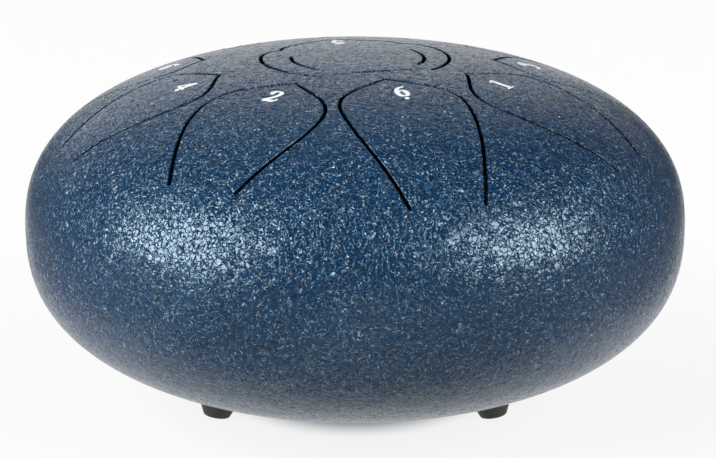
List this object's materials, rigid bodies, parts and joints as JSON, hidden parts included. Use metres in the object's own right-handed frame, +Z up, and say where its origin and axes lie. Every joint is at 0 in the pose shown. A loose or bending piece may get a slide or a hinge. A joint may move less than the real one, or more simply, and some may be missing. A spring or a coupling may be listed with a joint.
{
  "type": "tongue drum",
  "caption": "Round steel tongue drum: two welded domed shells with petal tongues cut round a centre tongue, numeral stickers, a sound hole below and screwed rubber feet.",
  "frame": {"origin": "on the ground under the drum's axis, at the flattened edges of the rubber feet", "axes": "+Z up along the drum's axis, -Y to the front of the picture, +X to its right"},
  "size_m": [0.305, 0.305, 0.163],
  "materials": {
    "crackle_paint": "dark blue crackle powder coat with silver-grey veins, semi-gloss",
    "numeral_vinyl": "white vinyl numerals",
    "foot_rubber": "charcoal rubber, satin",
    "zinc_steel": "zinc-plated steel"
  },
  "bodies": {
    "drum": {"top_shell": "crackle_paint", "bottom_shell": "crackle_paint", "equator_weld": "crackle_paint", "foot_1": "foot_rubber", "foot_screw_1": "zinc_steel", "foot_washer_1": "zinc_steel", "foot_nut_1": "zinc_steel", "foot_2": "foot_rubber", "foot_screw_2": "zinc_steel", "foot_washer_2": "zinc_steel", "foot_nut_2": "zinc_steel", "foot_3": "foot_rubber", "foot_screw_3": "zinc_steel", "foot_washer_3": "zinc_steel", "foot_nut_3": "zinc_steel"},
    "tongue_6_low": {"tongue_6_low": "crackle_paint", "numeral_6_low": "numeral_vinyl", "numeral_6_low_dot": "numeral_vinyl"},
    "tongue_1": {"tongue_1": "crackle_paint", "numeral_1": "numeral_vinyl"},
    "tongue_2": {"tongue_2": "crackle_paint", "numeral_2": "numeral_vinyl"},
    "tongue_3": {"tongue_3": "crackle_paint", "numeral_3": "numeral_vinyl"},
    "tongue_4": {"tongue_4": "crackle_paint", "numeral_4": "numeral_vinyl"},
    "tongue_5": {"tongue_5": "crackle_paint", "numeral_5": "numeral_vinyl"},
    "tongue_6": {"tongue_6": "crackle_paint", "numeral_6": "numeral_vinyl"},
    "tongue_7": {"tongue_7": "crackle_paint", "numeral_7": "numeral_vinyl"},
    "tongue_1_high": {"tongue_1_high": "crackle_paint", "numeral_1_high": "numeral_vinyl", "numeral_1_high_dot": "numeral_vinyl"},
    "tongue_2_high": {"tongue_2_high": "crackle_paint", "numeral_2_high": "numeral_vinyl", "numeral_2_high_dot": "numeral_vinyl"},
    "centre_tongue": {"centre_tongue": "crackle_paint", "numeral_5_low": "numeral_vinyl", "numeral_5_low_dot": "numeral_vinyl"}
  },
  "joints": [
    {"name": "tongue_6_low_spring", "type": "hinge", "parent": "drum", "child": "tongue_6_low", "pos_m": [0.03779, -0.13006, 0.12729], "axis": [0.9603, 0.279, 0], "range_deg": [-0.51, 0.51], "stiffness_Nm_per_rad": 100},
    {"name": "tongue_1_spring", "type": "hinge", "parent": "drum", "child": "tongue_1", "pos_m": [0.11816, -0.06416, 0.12824], "axis": [0.4772, 0.8788, 0], "range_deg": [-0.59, 0.59], "stiffness_Nm_per_rad": 105},
    {"name": "tongue_2_spring", "type": "hinge", "parent": "drum", "child": "tongue_2", "pos_m": [-0.06293, -0.1159, 0.13054], "axis": [0.8788, -0.4772, 0], "range_deg": [-0.59, 0.59], "stiffness_Nm_per_rad": 120},
    {"name": "tongue_3_spring", "type": "hinge", "parent": "drum", "child": "tongue_3", "pos_m": [0.13249, 0.0198, 0.1287], "axis": [-0.1478, 0.989, 0], "range_deg": [-0.66, 0.66], "stiffness_Nm_per_rad": 100},
    {"name": "tongue_4_spring", "type": "hinge", "parent": "drum", "child": "tongue_4", "pos_m": [-0.12594, -0.04709, 0.12824], "axis": [0.3502, -0.9367, 0], "range_deg": [-0.65, 0.65], "stiffness_Nm_per_rad": 110},
    {"name": "tongue_5_spring", "type": "hinge", "parent": "drum", "child": "tongue_5", "pos_m": [0.10399, 0.08271, 0.12968], "axis": [-0.6225, 0.7826, 0], "range_deg": [-0.71, 0.71], "stiffness_Nm_per_rad": 100},
    {"name": "tongue_6_spring", "type": "hinge", "parent": "drum", "child": "tongue_6", "pos_m": [-0.12972, 0.02876, 0.12968], "axis": [-0.2164, -0.9763, 0], "range_deg": [-0.74, 0.74], "stiffness_Nm_per_rad": 110},
    {"name": "tongue_7_spring", "type": "hinge", "parent": "drum", "child": "tongue_7", "pos_m": [0.04494, 0.12346, 0.13095], "axis": [-0.9397, 0.342, 0], "range_deg": [-0.71, 0.71], "stiffness_Nm_per_rad": 95},
    {"name": "tongue_1_high_spring", "type": "hinge", "parent": "drum", "child": "tongue_1_high", "pos_m": [-0.09079, 0.09401, 0.13152], "axis": [-0.7193, -0.6947, 0], "range_deg": [-0.72, 0.72], "stiffness_Nm_per_rad": 100},
    {"name": "tongue_2_high_spring", "type": "hinge", "parent": "drum", "child": "tongue_2_high", "pos_m": [-0.02795, 0.12605, 0.13278], "axis": [-0.9763, -0.2164, 0], "range_deg": [-0.68, 0.68], "stiffness_Nm_per_rad": 90},
    {"name": "centre_tongue_spring", "type": "hinge", "parent": "drum", "child": "centre_tongue", "pos_m": [0.00985, -0.03324, 0.16104], "axis": [0.9588, 0.284, 0], "range_deg": [-0.58, 0.58], "stiffness_Nm_per_rad": 180}
  ]
}
